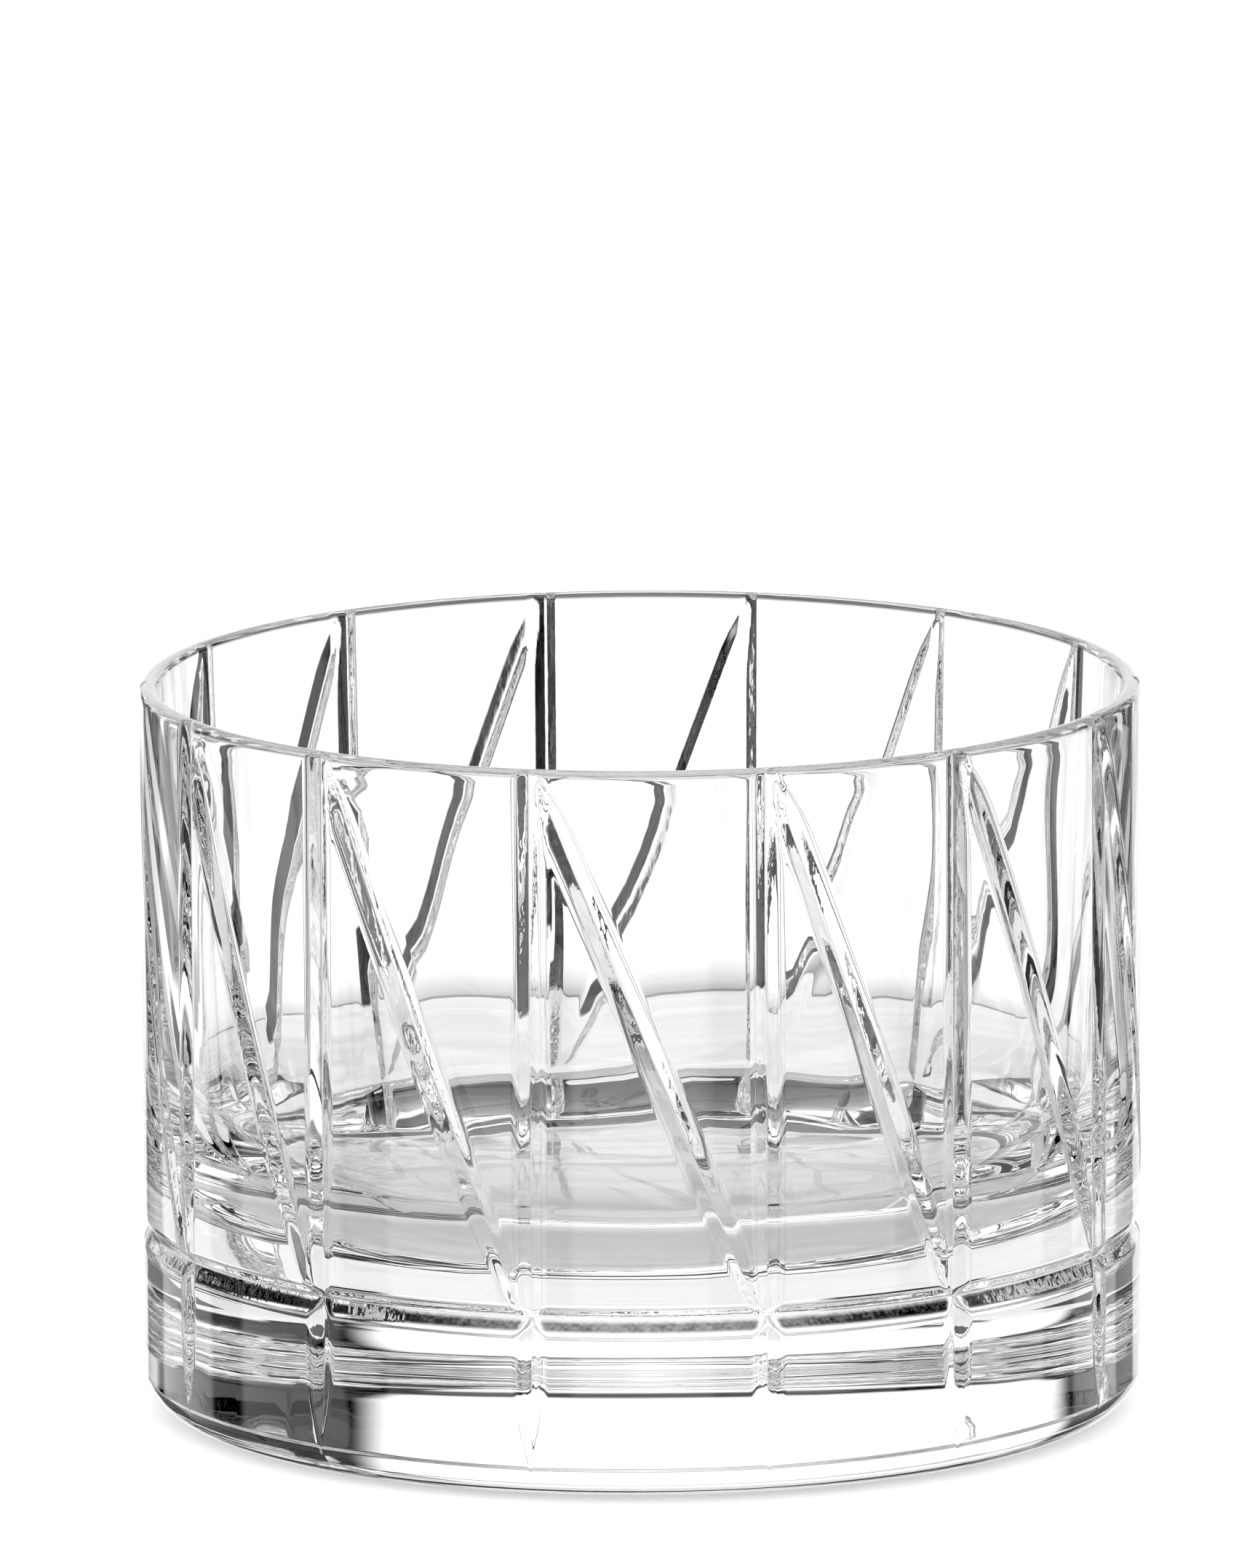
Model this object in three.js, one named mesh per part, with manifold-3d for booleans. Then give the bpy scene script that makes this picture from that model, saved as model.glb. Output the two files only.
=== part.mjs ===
// Cut-crystal whisky tumbler, in millimetres, +Z up, standing on Z = 0 with its axis on Z.
//
// The tumbler is one piece of clear glass: a blown cup with a heavy base, then cut with a wheel.
// The cutting is fourteen upright V cuts, one V groove as a ring above the base, and one leaning
// V cut across each panel. Each cut is taken out of the same blank, so there is one mesh.

import * as THREE from 'three';
import { mergeVertices } from 'three/addons/utils/BufferGeometryUtils.js';
import Module from 'manifold-3d';

// Driving sizes of the blown blank
const bodyRadius = 49;
const height = 72;
const lipRadius = 0.9;
const innerRadiusAtFillet = 45.2;
const floorHeight = 19.5;
const floorFillet = 16;
const heelHeight = 3.6;
const footRadius = 44.6;

// Driving sizes of the wheel cuts
const panelCount = 14;
const wheelHalfAngle = THREE.MathUtils.degToRad(60);
const cutDepth = 0.75;
const uprightRunOutStart = 12;
const leaningTopHeight = 72;
const leaningBottomHeight = 19;
const leaningStartOffset = 0.5;
const leaningEndOffset = 1.4;
const leaningRunIn = 0.12;
const leaningRunOutStart = 0.78;
const leaningEndDepth = 0.35;
const ringTopHeight = 19.15;
const ringValleyHeight = 18.1;
const ringBottomHeight = 16.55;
const ringDepth = 0.8;

// The cuts are set by eye on the wheel, so each sits up to two degrees off its even place.
const cutWander = [-1.6, -1.2, -0.8, 0, -0.5, -1.2, 0, 1.6, 0.1, 1.2, 0, -0.6, -0.7, -1.3];

// How finely round surfaces are divided
const roundSteps = panelCount * 6;
const arcSteps = 8;
const sweepSteps = 10;
const cutterProud = 1;

const wasm = await Module();
wasm.setup();

/** Turns a closed three.js geometry into a manifold solid. */
function toSolid(geometry) {
  const bare = new THREE.BufferGeometry();
  bare.setAttribute('position', geometry.getAttribute('position'));
  bare.setIndex(geometry.getIndex());
  const welded = mergeVertices(bare, 1e-5);
  const positions = welded.getAttribute('position').array;
  const corners = Array.from(welded.getIndex().array);
  const triangles = [];
  for (let i = 0; i < corners.length; i += 3) {
    const [a, b, c] = corners.slice(i, i + 3);
    if (a !== b && b !== c && c !== a) {
      triangles.push(a, b, c);
    }
  }
  return new wasm.Manifold(new wasm.Mesh({
    numProp: 3,
    vertProperties: Float32Array.from(positions),
    triVerts: Uint32Array.from(triangles),
  }));
}

/** Turns a manifold solid back into a three.js geometry. */
function toGeometry(solid) {
  const mesh = solid.getMesh();
  const geometry = new THREE.BufferGeometry();
  geometry.setAttribute('position', new THREE.BufferAttribute(mesh.vertProperties, 3));
  geometry.setIndex(new THREE.BufferAttribute(mesh.triVerts, 1));
  geometry.computeVertexNormals();
  return geometry;
}

/** Points of an arc in the (radius, height) plane, angles in radians, both ends included. */
function arc(centreRadius, centreHeight, radius, from, to) {
  const points = [];
  for (let i = 0; i <= arcSteps; i += 1) {
    const angle = from + (to - from) * i / arcSteps;
    points.push(new THREE.Vector2(
      centreRadius + radius * Math.cos(angle),
      centreHeight + radius * Math.sin(angle),
    ));
  }
  return points;
}

/** Spins a (radius, height) outline about Z. */
function spin(outline) {
  const geometry = new THREE.LatheGeometry(outline, roundSteps);
  geometry.rotateX(Math.PI / 2);
  return geometry;
}

/** The uncut cup: flat foot, rounded heel, straight wall, round lip, thick rounded floor. */
function makeBlank() {
  const reach = bodyRadius - footRadius;
  const heelRadius = (reach * reach + heelHeight * heelHeight) / (2 * heelHeight);
  const heelEnd = -Math.asin((heelRadius - heelHeight) / heelRadius);
  const outline = [
    new THREE.Vector2(0, 0),
    ...arc(footRadius, heelRadius, heelRadius, -Math.PI / 2, heelEnd),
    ...arc(bodyRadius - lipRadius, height - lipRadius, lipRadius, 0, Math.PI),
    ...arc(innerRadiusAtFillet - floorFillet, floorHeight + floorFillet, floorFillet, 0, -Math.PI / 2),
    new THREE.Vector2(0, floorHeight),
  ];
  return toSolid(spin(outline));
}

/** Unit vector pointing out of the wall at a turn about Z, with zero at the front (-Y). */
function outward(turn) {
  return new THREE.Vector3(Math.sin(turn), -Math.cos(turn), 0);
}

/**
 * The glass that one pass of the V wheel takes out of the wall. The route gives the turn about Z,
 * the height and the depth below the body radius; a depth under zero lifts the wheel off the glass.
 */
function sweepWheel(route) {
  const centres = route.map(({ turn, z }) => outward(turn).multiplyScalar(bodyRadius).setZ(z));
  const corners = [];
  route.forEach(({ turn, depth }, i) => {
    const ahead = centres[Math.min(i + 1, centres.length - 1)];
    const behind = centres[Math.max(i - 1, 0)];
    const across = new THREE.Vector3().subVectors(ahead, behind).cross(outward(turn)).normalize();
    const halfWidth = (depth + cutterProud) * Math.tan(wheelHalfAngle);
    const top = centres[i].clone().addScaledVector(outward(turn), cutterProud);
    corners.push(
      ...centres[i].clone().addScaledVector(outward(turn), -depth).toArray(),
      ...top.clone().addScaledVector(across, halfWidth).toArray(),
      ...top.clone().addScaledVector(across, -halfWidth).toArray(),
    );
  });
  const faces = [0, 1, 2];
  for (let i = 0; i < route.length - 1; i += 1) {
    const here = 3 * i;
    for (let side = 0; side < 3; side += 1) {
      const next = (side + 1) % 3;
      faces.push(here + side, here + 3 + side, here + next);
      faces.push(here + next, here + 3 + side, here + 3 + next);
    }
  }
  const last = 3 * (route.length - 1);
  faces.push(last, last + 2, last + 1);
  const geometry = new THREE.BufferGeometry();
  geometry.setAttribute('position', new THREE.Float32BufferAttribute(corners, 3));
  geometry.setIndex(faces);
  return toSolid(geometry);
}

/** Turn about Z of an upright cut. The one after the last is the first, a full turn on. */
function cutTurn(index) {
  const even = (index - (panelCount - 1) / 2) * 360 / panelCount;
  return THREE.MathUtils.degToRad(even + cutWander[index % panelCount]);
}

/** An upright cut: full depth from the lip down, running out to nothing at the heel. */
function uprightCut(index) {
  const turn = cutTurn(index);
  const route = [{ turn, z: height + cutterProud, depth: cutDepth }];
  for (let i = 0; i <= sweepSteps; i += 1) {
    const down = i / sweepSteps;
    const z = THREE.MathUtils.lerp(uprightRunOutStart, heelHeight - 0.5, down);
    const away = (uprightRunOutStart - z) / (uprightRunOutStart - heelHeight);
    route.push({ turn, z, depth: cutDepth * (1 - away * away) });
  }
  return sweepWheel(route);
}

/** A leaning cut: from beside one upright cut at the lip to the foot of the next at the ring. */
function leaningCut(index) {
  const startTurn = cutTurn(index) + THREE.MathUtils.degToRad(leaningStartOffset);
  const endTurn = cutTurn(index + 1) - THREE.MathUtils.degToRad(leaningEndOffset);
  const route = [];
  for (let i = 0; i <= sweepSteps; i += 1) {
    const along = i / sweepSteps;
    const entry = Math.min(along / leaningRunIn, 1);
    const exit = THREE.MathUtils.clamp((along - leaningRunOutStart) / (1 - leaningRunOutStart), 0, 1);
    route.push({
      turn: THREE.MathUtils.lerp(startTurn, endTurn, along),
      z: THREE.MathUtils.lerp(leaningTopHeight, leaningBottomHeight, along),
      depth: cutDepth * (1 - (1 - entry) ** 2) - (cutDepth - leaningEndDepth) * exit * exit - 0.01,
    });
  }
  return sweepWheel(route);
}

/** The V groove that rings the wall above the base. */
function ringCut() {
  const upperSlope = (ringTopHeight - ringValleyHeight) / ringDepth;
  const lowerSlope = (ringValleyHeight - ringBottomHeight) / ringDepth;
  const outer = bodyRadius + cutterProud;
  const groove = [
    new THREE.Vector2(bodyRadius - ringDepth, ringValleyHeight),
    new THREE.Vector2(outer, ringBottomHeight - lowerSlope * cutterProud),
    new THREE.Vector2(outer, ringTopHeight + upperSlope * cutterProud),
    new THREE.Vector2(bodyRadius - ringDepth, ringValleyHeight),
  ];
  return toSolid(spin(groove));
}

/** The finished glass: the blank less every wheel cut. */
function makeGlassBody() {
  let glass = makeBlank().subtract(ringCut());
  for (let index = 0; index < panelCount; index += 1) {
    glass = glass.subtract(uprightCut(index)).subtract(leaningCut(index));
  }
  const crystal = new THREE.MeshStandardMaterial({
    color: 0xf4f7f8,
    roughness: 0.03,
    metalness: 0,
    transparent: true,
    opacity: 0.35,
  });
  const mesh = new THREE.Mesh(toGeometry(glass), crystal);
  mesh.name = 'glass_body';
  return mesh;
}

const tumbler = new THREE.Group();
tumbler.add(makeGlassBody());

export default tumbler;
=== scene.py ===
"""Cut-crystal whisky tumbler on a white table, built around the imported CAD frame."""
import math

import bpy
import numpy as np
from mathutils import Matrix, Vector


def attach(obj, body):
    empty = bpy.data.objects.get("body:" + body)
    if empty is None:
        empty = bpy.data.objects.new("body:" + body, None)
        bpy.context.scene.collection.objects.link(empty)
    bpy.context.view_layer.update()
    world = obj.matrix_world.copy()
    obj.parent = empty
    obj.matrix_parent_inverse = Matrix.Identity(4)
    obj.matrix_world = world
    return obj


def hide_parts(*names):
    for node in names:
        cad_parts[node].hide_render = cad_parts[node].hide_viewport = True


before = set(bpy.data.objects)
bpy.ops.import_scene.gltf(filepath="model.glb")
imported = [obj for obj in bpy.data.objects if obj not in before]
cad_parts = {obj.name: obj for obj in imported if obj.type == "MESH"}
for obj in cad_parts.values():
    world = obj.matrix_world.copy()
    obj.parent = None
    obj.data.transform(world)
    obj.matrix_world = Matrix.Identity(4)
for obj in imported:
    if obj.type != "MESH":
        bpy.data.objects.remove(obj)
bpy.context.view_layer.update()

MM = 0.001

# The blown blank, in millimetres
BODY_RADIUS = 49.0
HEIGHT = 72.0
LIP_RADIUS = 0.9
INNER_RADIUS_AT_FILLET = 45.2
FLOOR_HEIGHT = 19.5
FLOOR_FILLET = 16.0
HEEL_HEIGHT = 3.6
FOOT_RADIUS = 44.6

# The wheel cuts, in millimetres and degrees
PANELS = 14
WHEEL_SPREAD = math.tan(math.radians(60))
CUT_DEPTH = 0.75
CUT_WANDER = (-1.6, -1.2, -0.8, 0, -0.5, -1.2, 0, 1.6, 0.1, 1.2, 0, -0.6, -0.7, -1.3)
UPRIGHT_RUN_OUT_START = 12.0
LEANING_TOP = 72.0
LEANING_BOTTOM = 19.0
LEANING_START_OFFSET = 0.5
LEANING_END_OFFSET = 1.4
LEANING_RUN_IN = 0.12
LEANING_RUN_OUT_START = 0.78
LEANING_END_DEPTH = 0.35
RING_TOP = 19.15
RING_VALLEY = 18.1
RING_BOTTOM = 16.55
RING_DEPTH = 0.8

# Polishing leaves edges and valleys slightly round
EDGE_ROUNDING = 0.24
VALLEY_ROUNDING = 0.06

# Waves left by blowing and polishing in the inner wall and the floor:
# depth in mm, waves round the cup, waves per mm down or across it, and phase
WALL_WAVES = ((0.035, 5, 0.013, 0.3), (0.022, 11, -0.021, 1.9), (0.012, 23, 0.034, 4.1))
FLOOR_WAVES = ((0.026, 0.031, 0.062, 0.7), (0.016, -0.024, 0.115, 2.6), (0.006, 0.052, 0.170, 5.0))
WAVES_START_BELOW_LIP = 4.0

# The mesh's columns: places across a flank, from its valley at 0 to its edge at 1, the least depth in mm
# that they are spread over, the least gap in mm between two cuts' columns, and the steps across a panel
FLANK_STOPS = np.array([0.05, 0.13, 0.4, 0.66, 0.78, 0.89, 1.0, 1.11, 1.24, 1.4])
LEAST_DEPTH = 0.08
COLUMN_GAP = 0.1
PANEL_STEPS = 6

# A radius outside the glass, where there is no cut, and how far round a cut is worked out, in radians
NO_CUT = BODY_RADIUS + 5
CUT_REACH = 0.2

# Clear crystal, and the wheel's marks in the cuts: scale per metre, bump strength, height in mm and haze
CRYSTAL_IOR = 1.53
CHATTER_SCALE = (1100, 1100, 420)
CHATTER_STRENGTH = 0.8
CHATTER_HEIGHT = 0.03
CUT_ROUGHNESS = 0.012

# The white table: size and drop below the glass in metres, tone, unevenness and streaks per metre
TABLE_SIZE = 40
TABLE_DROP = 0.0002
TABLE_TONE = 0.9
TABLE_UNEVENNESS = 0.02
STREAK_SCALE = (14, 260, 1)
MATT_ROUGHNESS = 0.9

# Flat rings on the table that only the glass shows: name, outer radius in mm and tone.
# They are the lit table under the foot, the shade round it, the table near the glass and its far edge.
TABLE_RINGS = (("table_under_foot", 48.0, 0.8), ("table_shade", 61.0, 0.0),
               ("table_near", 106.0, 0.66), ("table_edge", 108.0, 0.25))
RING_HOLE = 0.01
RING_DROP = 0.0001
RING_UNEVENNESS = 0.15
RING_STEPS = 96

# Dark cards round the table: direction and half width, in degrees clockwise from behind the glass.
# The low ones stand below the horizon and the high ones above it.
LOW_CARDS = ((30, 8), (-24, 9), (67.5, 6.5), (-67.5, 6.5), (112.5, 6.5), (-112.5, 6.5),
             (157.5, 6.5), (-157.5, 6.5))
HIGH_CARDS = ((49.5, 25.5), (-68, 20), (120, 14), (-120, 14))
LOW_SOFTNESS = 1.5
HIGH_SOFTNESS = 2.5
CARD_TONE = 0.0

# Elevations in degrees over which the surround changes, from low to high, and its tones
CARDS_START = (-40, -28)
TABLE_TO_WINDOW = (-32, -17)
LOW_TO_HIGH_CARDS = (-3, 1)
WINDOW_TO_DARK = (23, 28)
DARK_TO_SKY = (32, 38)
FAR_TABLE_TONE = 0.15
WINDOW_TONE = 1.18
SKY_TONE = 1.18
TABLE_LIGHT = 1.7
BACKDROP_TONE = 1.0

# The camera, in metres and degrees, and the height in mm that its frame takes in at the glass
CAMERA_DISTANCE = 3.0
CAMERA_ELEVATION = 11.28
CAMERA_ROLL = 0.27
VIEW_HEIGHT = 153.92304
SENSOR = 36.0
OBJECT_RIGHT_OF_CENTRE = 1.25
OBJECT_BELOW_CENTRE = 25.1

# Enough bounces for light to find its way through thick cut glass
BOUNCES = {"max_bounces": 24, "transmission_bounces": 24, "glossy_bounces": 16, "diffuse_bounces": 4}


def smooth_min(a, b, rounding):
    """The lower of two surfaces, with the edge where they meet rounded over."""
    blend = np.clip(0.5 + 0.5 * (b - a) / rounding, 0, 1)
    return b + (a - b) * blend - rounding * blend * (1 - blend)


def soft_distance(across):
    """Distance from a cut's centre line, with the valley's bottom rounded."""
    return np.sqrt(across ** 2 + VALLEY_ROUNDING ** 2) - VALLEY_ROUNDING


def cut_turn(index):
    """Turn about Z of an upright cut, with zero at the front."""
    even = (index - (PANELS - 1) / 2) * 360 / PANELS
    return math.radians(even + CUT_WANDER[index % PANELS])


def upright_depth(z):
    """Depth of the upright cuts, which run out at the heel."""
    away = np.clip((UPRIGHT_RUN_OUT_START - z) / (UPRIGHT_RUN_OUT_START - HEEL_HEIGHT), 0, 1.2)
    return CUT_DEPTH * (1 - away ** 2)


def leaning_centre(index, z):
    """Turn about Z of a leaning cut's centre line."""
    start = cut_turn(index) + math.radians(LEANING_START_OFFSET)
    end = cut_turn(index + 1) - math.radians(LEANING_END_OFFSET)
    return start + (end - start) * leaning_progress(z)


def leaning_progress(z):
    """How far down a leaning cut a height lies, from 0 at the lip to 1 at the ring."""
    return (LEANING_TOP - z) / (LEANING_TOP - LEANING_BOTTOM)


def leaning_depth(z):
    """Depth of the leaning cuts, which start as a point and end shallow."""
    along = leaning_progress(z)
    entry = np.minimum(along / LEANING_RUN_IN, 1)
    leave = np.clip((along - LEANING_RUN_OUT_START) / (1 - LEANING_RUN_OUT_START), 0, None)
    return CUT_DEPTH * (1 - (1 - entry) ** 2) - (CUT_DEPTH - LEANING_END_DEPTH) * leave ** 2


def leaning_slope(index):
    """Cosine of the angle at which a leaning cut crosses the wall."""
    start = cut_turn(index) + math.radians(LEANING_START_OFFSET)
    end = cut_turn(index + 1) - math.radians(LEANING_END_OFFSET)
    return math.cos(math.atan2((end - start) * BODY_RADIUS, LEANING_TOP - LEANING_BOTTOM))


def flank_radius(turn_off, depth, squeeze=1.0):
    """Radius of the flat flanks of a V cut, at a turn away from its centre line."""
    across = soft_distance(BODY_RADIUS * turn_off * squeeze) / BODY_RADIUS
    return (BODY_RADIUS - depth) / (np.cos(across) - np.sin(across) / WHEEL_SPREAD)


def cut_radius(turn, z):
    """Radius of the glass under every wheel cut, over arrays of turn and height."""
    radius = np.full_like(turn, NO_CUT)
    for index in range(PANELS):
        off = (turn - cut_turn(index) + math.pi) % (2 * math.pi) - math.pi
        near = np.clip(off, -CUT_REACH, CUT_REACH)
        radius = smooth_min(radius, flank_radius(near, upright_depth(z)), EDGE_ROUNDING)
        off = (turn - leaning_centre(index, z) + math.pi) % (2 * math.pi) - math.pi
        near = np.clip(off, -CUT_REACH, CUT_REACH)
        on_cut = (z < LEANING_TOP) & (z > RING_VALLEY)
        leaning = flank_radius(near, leaning_depth(z), leaning_slope(index))
        leaning = np.where(on_cut, leaning, NO_CUT)
        radius = smooth_min(radius, leaning, EDGE_ROUNDING)
    above = (z - RING_VALLEY) * RING_DEPTH / (RING_TOP - RING_VALLEY)
    below = (RING_VALLEY - z) * RING_DEPTH / (RING_VALLEY - RING_BOTTOM)
    ring = BODY_RADIUS - RING_DEPTH + soft_distance(np.maximum(above, below))
    return smooth_min(radius, ring, EDGE_ROUNDING)


def arc_points(centre_radius, centre_z, radius, start, end, steps):
    """Points of an arc in the (radius, height) plane."""
    angles = np.linspace(start, end, steps + 1)
    return [(centre_radius + radius * math.cos(a), centre_z + radius * math.sin(a)) for a in angles]


def blank_outline():
    """Rows of the uncut cup from the middle of the underside round to the middle of the floor.

    Gives the points and, for each, whether the wheel cuts reach it.
    """
    reach = BODY_RADIUS - FOOT_RADIUS
    heel_radius = (reach ** 2 + HEEL_HEIGHT ** 2) / (2 * HEEL_HEIGHT)
    heel_end = -math.asin((heel_radius - HEEL_HEIGHT) / heel_radius)
    under = [(r, 0.0) for r in (12, 24, 34, 41, 44)]
    heel = arc_points(FOOT_RADIUS, heel_radius, heel_radius, -math.pi / 2, heel_end, 9)
    ring_rows = [RING_BOTTOM + dz for dz in (-0.45, -0.25, -0.1, 0.05, 0.2, 0.4)]
    ring_rows += [RING_VALLEY + dz for dz in (-0.6, -0.14, -0.05, 0.04, 0.12)]
    ring_rows += [RING_TOP + dz for dz in (-0.5, -0.25, -0.1, 0.05, 0.2, 0.35)]
    wall_z = [HEEL_HEIGHT + 0.06, HEEL_HEIGHT + 0.2, *np.linspace(4.4, 15.7, 11), *ring_rows]
    wall_z += [*np.linspace(20.2, 69.4, 32), 70.2, 70.7]
    wall = [(BODY_RADIUS, z) for z in wall_z]
    lip = arc_points(BODY_RADIUS - LIP_RADIUS, HEIGHT - LIP_RADIUS, LIP_RADIUS, 0, math.pi, 14)
    inner_top = (BODY_RADIUS - 2 * LIP_RADIUS, HEIGHT - LIP_RADIUS)
    fillet = arc_points(INNER_RADIUS_AT_FILLET - FLOOR_FILLET, FLOOR_HEIGHT + FLOOR_FILLET,
                        FLOOR_FILLET, 0, -math.pi / 2, 20)
    inner = [tuple(np.array(inner_top) + (np.array(fillet[0]) - inner_top) * t)
             for t in np.linspace(0, 1, 16)[1:-1]]
    floor = [(r, FLOOR_HEIGHT) for r in (26, 22, 18, 14, 10, 6, 2)]
    cut = [*heel, *wall, *lip[:8]]
    plain_after = [*lip[8:], *inner, *fillet, *floor]
    points = [*under, *cut, *plain_after]
    reached = [False] * len(under) + [True] * len(cut) + [False] * len(plain_after)
    return np.array(points), np.array(reached)


def row_columns(z):
    """Turns at which a row has its points, following the edges and valleys of the cuts."""
    gap = COLUMN_GAP / BODY_RADIUS
    upright = max(float(upright_depth(z)), LEAST_DEPTH) * WHEEL_SPREAD / BODY_RADIUS
    turns = []
    for index in range(PANELS):
        left = cut_turn(index)
        start = left + upright * FLANK_STOPS[-1]
        right = cut_turn(index + 1)
        end = right - upright * FLANK_STOPS[-1]
        depth = max(float(leaning_depth(z)), LEAST_DEPTH)
        width = depth * WHEEL_SPREAD / BODY_RADIUS / leaning_slope(index)
        centre = leaning_centre(index, np.clip(z, LEANING_BOTTOM, LEANING_TOP))
        leaning = centre + width * np.concatenate([-FLANK_STOPS[::-1], [0], FLANK_STOPS])
        squeeze = np.linspace(0, gap, len(leaning))
        leaning = np.clip(leaning, start + gap + squeeze, end - gap - squeeze[::-1])
        turns += [left, *(left + upright * FLANK_STOPS)]
        turns += list(np.linspace(start, leaning[0], PANEL_STEPS + 1)[1:-1])
        turns += list(leaning)
        turns += list(np.linspace(leaning[-1], end, PANEL_STEPS + 1)[1:-1])
        turns += list(right - upright * FLANK_STOPS[::-1])
    return np.array(turns)


def hollow_waves(points, reached):
    """Moves the rows of the hollow by the waves in its wall and floor."""
    first_inside = len(reached) - reached[::-1].index(True)
    for row in range(first_inside, len(points)):
        x, y, z = points[row].T
        turn = np.arctan2(x, -y)
        radius = np.hypot(x, y)
        down = np.clip((HEIGHT - LIP_RADIUS - z) / WAVES_START_BELOW_LIP, 0, 1)
        ripple = sum(depth * np.sin(count * turn + math.tau * per_mm * z + phase)
                     for depth, count, per_mm, phase in WALL_WAVES)
        wall = down * np.clip((z - FLOOR_HEIGHT) / FLOOR_FILLET, 0, 1) * ripple / radius
        lift = sum(depth * np.sin(math.tau * (across * x + along * y) + phase)
                   for depth, across, along, phase in FLOOR_WAVES)
        level = lift * np.clip((FLOOR_HEIGHT + FLOOR_FILLET - z) / FLOOR_FILLET, 0, 1)
        points[row] = np.stack([x * (1 + wall), y * (1 + wall), z + level], 1)


def glass_mesh():
    """The whole tumbler as one closed mesh of quads, with a fan at each pole."""
    outline, reached = blank_outline()
    rings = []
    for (radius, z), is_cut in zip(outline, reached):
        turn = row_columns(z)
        r = np.full_like(turn, radius)
        if is_cut:
            r = smooth_min(r, cut_radius(turn, np.full_like(turn, z)), EDGE_ROUNDING)
        rings.append(np.stack([r * np.sin(turn), -r * np.cos(turn), np.full_like(turn, z)], 1))
    hollow_waves(rings, list(reached))
    count = len(rings[0])
    middle = [[0, 0, rings[-1][:, 2].mean()]]
    points = np.concatenate([[[0, 0, 0]], *rings, middle]) * MM
    faces = [(0, 1 + (i + 1) % count, 1 + i) for i in range(count)]
    for row in range(len(rings) - 1):
        here = 1 + row * count
        above = here + count
        faces += [(here + i, here + (i + 1) % count, above + (i + 1) % count, above + i)
                  for i in range(count)]
    last = 1 + (len(rings) - 1) * count
    top = len(points) - 1
    faces += [(last + i, last + (i + 1) % count, top) for i in range(count)]
    mesh = bpy.data.meshes.new("tumbler_glass")
    mesh.from_pydata(points.tolist(), [], faces)
    mesh.shade_smooth()
    mesh.update()
    return mesh


def new_material(name):
    """A fresh material and its main shader."""
    material = bpy.data.materials.new(name)
    material.use_nodes = True
    return material, material.node_tree.nodes["Principled BSDF"]


def add_node(material, kind, inputs, **settings):
    """Adds a node with its settings, and its inputs as plain values or links from other nodes."""
    node = material.node_tree.nodes.new(kind)
    for name, value in settings.items():
        setattr(node, name, value)
    for key, value in inputs.items():
        if isinstance(value, (int, float, tuple)):
            node.inputs[key].default_value = value
        else:
            material.node_tree.links.new(value, node.inputs[key])
    return node


def multiply(material, a, b):
    """The product of two values in a material."""
    return add_node(material, "ShaderNodeMath", {0: a, 1: b}, operation="MULTIPLY").outputs[0]


def cut_mask(material, place):
    """One inside the wheel cuts and nought on the rest of the glass."""
    flat = add_node(material, "ShaderNodeVectorMath", {0: place, 1: (1, 1, 0)}, operation="MULTIPLY")
    length = add_node(material, "ShaderNodeVectorMath", {0: flat.outputs[0]}, operation="LENGTH")
    radius = length.outputs["Value"]
    height = add_node(material, "ShaderNodeSeparateXYZ", {0: place}).outputs["Z"]
    below_the_surface = (radius, BODY_RADIUS - 0.05, BODY_RADIUS - 0.35)
    on_the_outside = (radius, BODY_RADIUS - 1.5, BODY_RADIUS - 1.2)
    above_the_heel = (height, HEEL_HEIGHT, HEEL_HEIGHT + 2)
    below_the_lip = (height, HEIGHT - 0.6, HEIGHT - 1.2)
    mask = 1.0
    for value, start, end in (below_the_surface, on_the_outside, above_the_heel, below_the_lip):
        ramp = add_node(material, "ShaderNodeMapRange", {0: value, 1: start * MM, 2: end * MM})
        mask = multiply(material, mask, ramp.outputs[0])
    return mask


def crystal_material():
    """Clear polished crystal, with the wheel's faint marks left in the cuts."""
    material, shader = new_material("clear_crystal")
    shader.inputs["Base Color"].default_value = (1, 1, 1, 1)
    shader.inputs["IOR"].default_value = CRYSTAL_IOR
    shader.inputs["Transmission Weight"].default_value = 1.0
    place = material.node_tree.nodes.new("ShaderNodeTexCoord").outputs["Object"]
    mask = cut_mask(material, place)
    stretched = add_node(material, "ShaderNodeMapping", {0: place, 3: CHATTER_SCALE})
    chatter = add_node(material, "ShaderNodeTexNoise",
                       {"Vector": stretched.outputs[0], "Scale": 1.0, "Detail": 2.0, "Roughness": 0.5})
    bump = add_node(material, "ShaderNodeBump",
                    {"Strength": multiply(material, mask, CHATTER_STRENGTH),
                     "Distance": CHATTER_HEIGHT * MM, "Height": chatter.outputs[0]})
    links = material.node_tree.links
    links.new(bump.outputs[0], shader.inputs["Normal"])
    links.new(multiply(material, mask, CUT_ROUGHNESS), shader.inputs["Roughness"])
    return material


def make_tumbler():
    """The visible tumbler, which stands for the CAD solid."""
    tumbler = bpy.data.objects.new("tumbler_glass", glass_mesh())
    bpy.context.collection.objects.link(tumbler)
    tumbler.data.materials.append(crystal_material())
    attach(tumbler, "root")
    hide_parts("glass_body")


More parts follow.
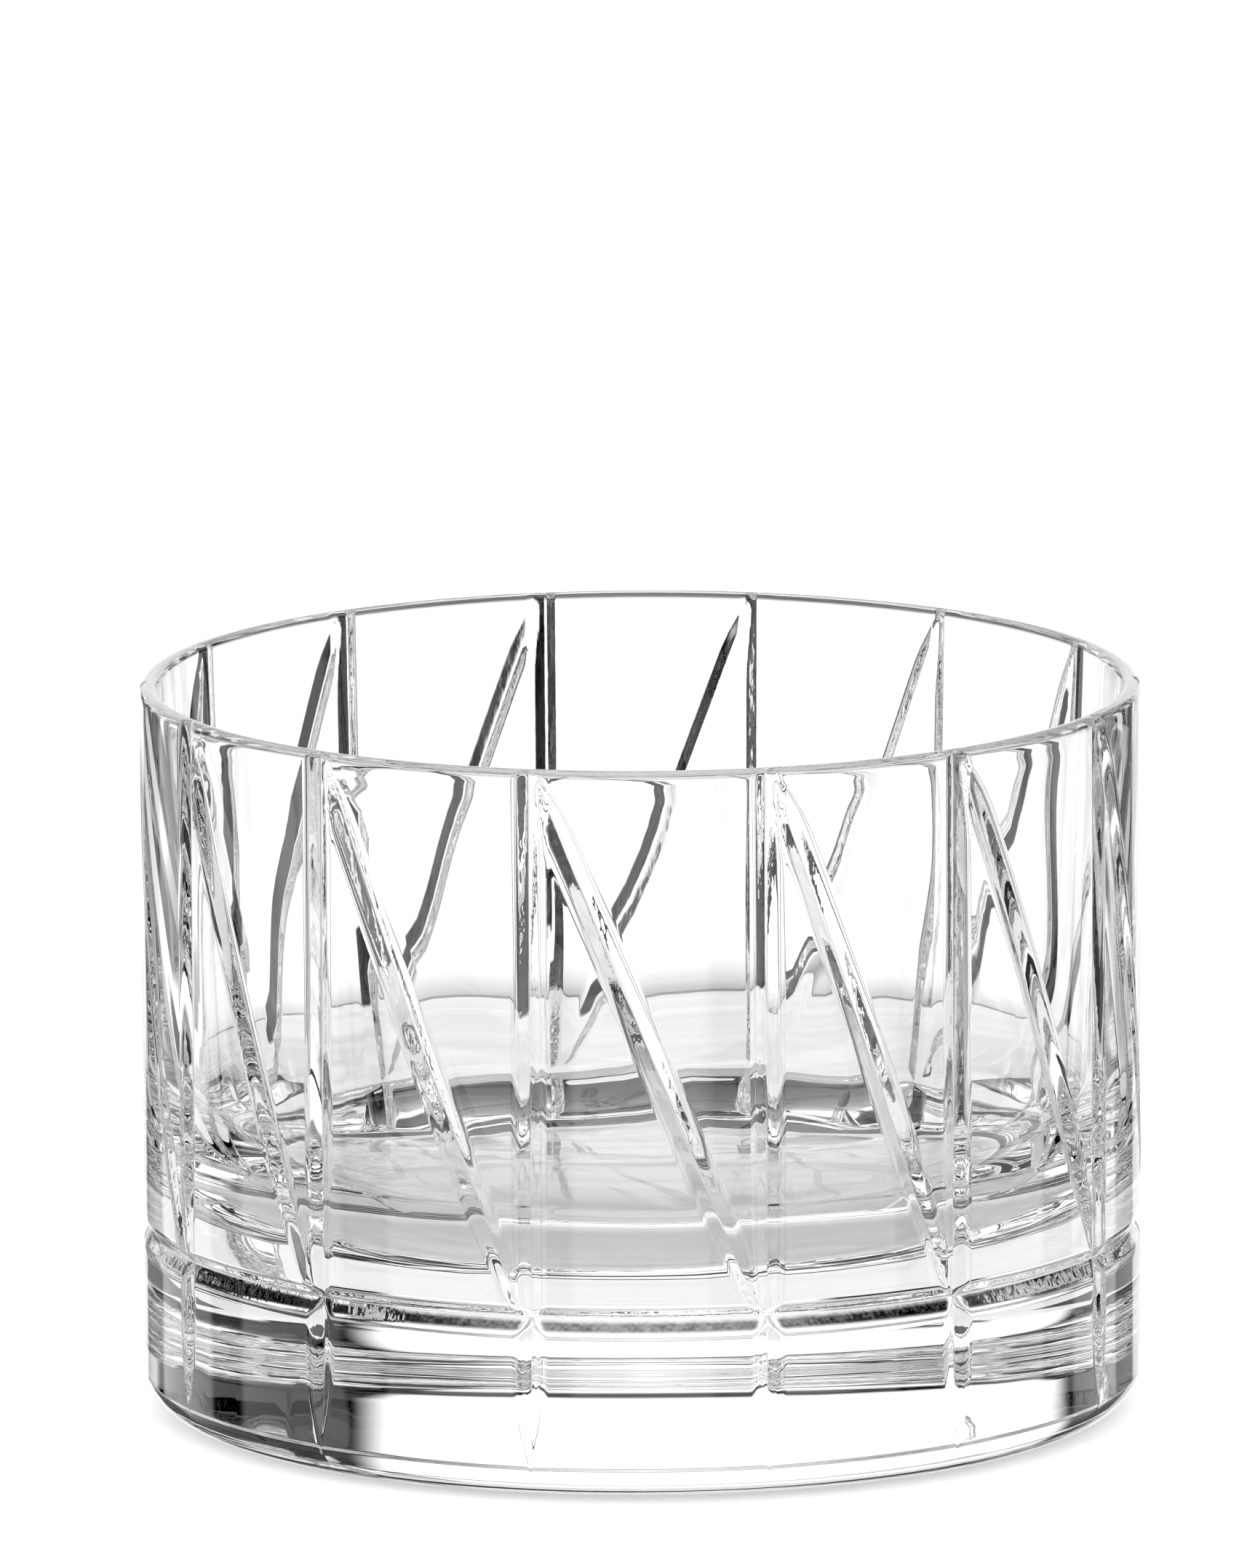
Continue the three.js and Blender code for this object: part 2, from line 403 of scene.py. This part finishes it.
def table_material(name, tone, unevenness):
    """Matt white board, faintly streaked along its length."""
    material, shader = new_material(name)
    shader.inputs["Roughness"].default_value = MATT_ROUGHNESS
    shader.inputs["Specular IOR Level"].default_value = 0.0
    place = material.node_tree.nodes.new("ShaderNodeTexCoord").outputs["Object"]
    stretched = add_node(material, "ShaderNodeMapping", {0: place, 3: STREAK_SCALE})
    streaks = add_node(material, "ShaderNodeTexNoise",
                       {"Vector": stretched.outputs[0], "Scale": 1.0, "Detail": 3.0})
    level = add_node(material, "ShaderNodeMapRange",
                     {0: streaks.outputs[0], 1: 0.3, 2: 0.7, 3: tone * (1 - unevenness), 4: tone})
    material.node_tree.links.new(level.outputs[0], shader.inputs["Base Color"])
    return material


def make_table():
    """A wide white table top, a hair below the glass so that the two faces don't meet.

    The glass doesn't show it, but shows the rings and the surround in its place.
    """
    bpy.ops.mesh.primitive_plane_add(size=TABLE_SIZE, location=(0, 0, -TABLE_DROP))
    table = bpy.context.object
    table.name = "table_top"
    table.data.materials.append(table_material("white_table", TABLE_TONE, TABLE_UNEVENNESS))
    table.visible_transmission = False
    table.visible_glossy = False


def make_table_ring(name, inner, outer, tone):
    """A flat ring on the table, which only rays through the glass meet."""
    angles = [math.tau * i / RING_STEPS for i in range(RING_STEPS)]
    points = [(r * MM * math.cos(a), r * MM * math.sin(a), -RING_DROP)
              for r in (inner, outer) for a in angles]
    faces = [(i, RING_STEPS + i, RING_STEPS + (i + 1) % RING_STEPS, (i + 1) % RING_STEPS)
             for i in range(RING_STEPS)]
    mesh = bpy.data.meshes.new(name)
    mesh.from_pydata(points, [], faces)
    ring = bpy.data.objects.new(name, mesh)
    bpy.context.collection.objects.link(ring)
    mesh.materials.append(table_material(name, tone, RING_UNEVENNESS))
    ring.visible_camera = False
    ring.visible_shadow = False
    ring.visible_diffuse = False
    ring.visible_glossy = False


def make_table_under_glass():
    """What the glass shows of the table: rings from its middle to its far edge."""
    inner = RING_HOLE
    for name, outer, tone in TABLE_RINGS:
        make_table_ring(name, inner, outer, tone)
        inner = outer


def make_studio_light():
    """A white surround, broken by dark cards that give the glass its dark lines.

    The camera sees a plain white backdrop, and the table gets even light. Only rays that the glass
    bends or reflects meet the cards.
    """
    world = bpy.data.worlds.new("studio")
    bpy.context.scene.world = world
    world.use_nodes = True
    nodes = world.node_tree.nodes
    links = world.node_tree.links
    background = nodes["Background"]
    coords = nodes.new("ShaderNodeTexCoord")
    split = nodes.new("ShaderNodeSeparateXYZ")
    links.new(coords.outputs["Generated"], split.inputs[0])

    def put(socket, value):
        if isinstance(value, (int, float)):
            socket.default_value = value
        else:
            links.new(value, socket)

    def math_node(operation, *values):
        node = nodes.new("ShaderNodeMath")
        node.operation = operation
        for socket, value in zip(node.inputs, values):
            put(socket, value)
        return node.outputs[0]

    def ramp(value, start, end, low=0.0, high=1.0):
        node = nodes.new("ShaderNodeMapRange")
        node.interpolation_type = "SMOOTHSTEP"
        for socket, number in zip(node.inputs, (value, start, end, low, high)):
            put(socket, number)
        return node.outputs[0]

    def mix(factor, a, b):
        node = nodes.new("ShaderNodeMix")
        put(node.inputs[0], factor)
        put(node.inputs[2], a)
        put(node.inputs[3], b)
        return node.outputs[0]

    radians = math_node("ARCTAN2", split.outputs["X"], split.outputs["Y"])
    azimuth = math_node("DEGREES", radians)
    elevation = math_node("DEGREES", math_node("ARCSINE", split.outputs["Z"]))

    def cards(places, softness):
        cover = 0.0
        for direction, half in places:
            away = math_node("ABSOLUTE", math_node("SUBTRACT", azimuth, direction))
            card = ramp(away, half + softness, half - softness)
            cover = math_node("MAXIMUM", cover, card)
        return cover

    rising = ramp(elevation, *LOW_TO_HIGH_CARDS)
    cover = mix(rising, cards(LOW_CARDS, LOW_SOFTNESS), cards(HIGH_CARDS, HIGH_SOFTNESS))
    cover = math_node("MULTIPLY", cover, ramp(elevation, *CARDS_START))
    lit = ramp(elevation, *TABLE_TO_WINDOW, FAR_TABLE_TONE, WINDOW_TONE)
    lit = mix(ramp(elevation, *WINDOW_TO_DARK), lit, CARD_TONE)
    lit = mix(ramp(elevation, *DARK_TO_SKY), lit, SKY_TONE)
    tone = mix(cover, lit, CARD_TONE)
    path = nodes.new("ShaderNodeLightPath")
    after_diffuse = math_node("GREATER_THAN", path.outputs["Diffuse Depth"], 0.5)
    tone = mix(after_diffuse, tone, TABLE_LIGHT)
    tone = mix(path.outputs["Is Camera Ray"], tone, BACKDROP_TONE)
    links.new(tone, background.inputs["Strength"])
    background.inputs["Color"].default_value = (1, 1, 1, 1)


def make_camera():
    """A long lens from the front, a little above the lip, with the glass low in the frame."""
    data = bpy.data.cameras.new("camera")
    camera = bpy.data.objects.new("camera", data)
    bpy.context.collection.objects.link(camera)
    data.sensor_width = SENSOR
    data.sensor_fit = "AUTO"
    data.lens = CAMERA_DISTANCE * SENSOR / (VIEW_HEIGHT * MM)
    data.clip_start = 0.1
    data.clip_end = 100
    elevation = math.radians(CAMERA_ELEVATION)
    toward = Vector((0, -math.cos(elevation), math.sin(elevation)))
    up = Vector((0, math.sin(elevation), math.cos(elevation)))
    middle = Vector((0, 0, HEIGHT * MM / 2))
    camera.location = middle + toward * CAMERA_DISTANCE
    aim = middle + up * OBJECT_BELOW_CENTRE * MM - Vector((OBJECT_RIGHT_OF_CENTRE * MM, 0, 0))
    facing = (aim - camera.location).to_track_quat("-Z", "Y")
    camera.rotation_euler = facing.to_euler()
    camera.rotation_euler.rotate_axis("Z", math.radians(-CAMERA_ROLL))
    bpy.context.scene.camera = camera


def set_looks():
    """Colours as a plain camera records them, and the bounces that cut glass needs."""
    scene = bpy.context.scene
    scene.view_settings.view_transform = "Standard"
    for name, count in BOUNCES.items():
        setattr(scene.cycles, name, count)


make_tumbler()
make_table()
make_table_under_glass()
make_studio_light()
make_camera()
set_looks()
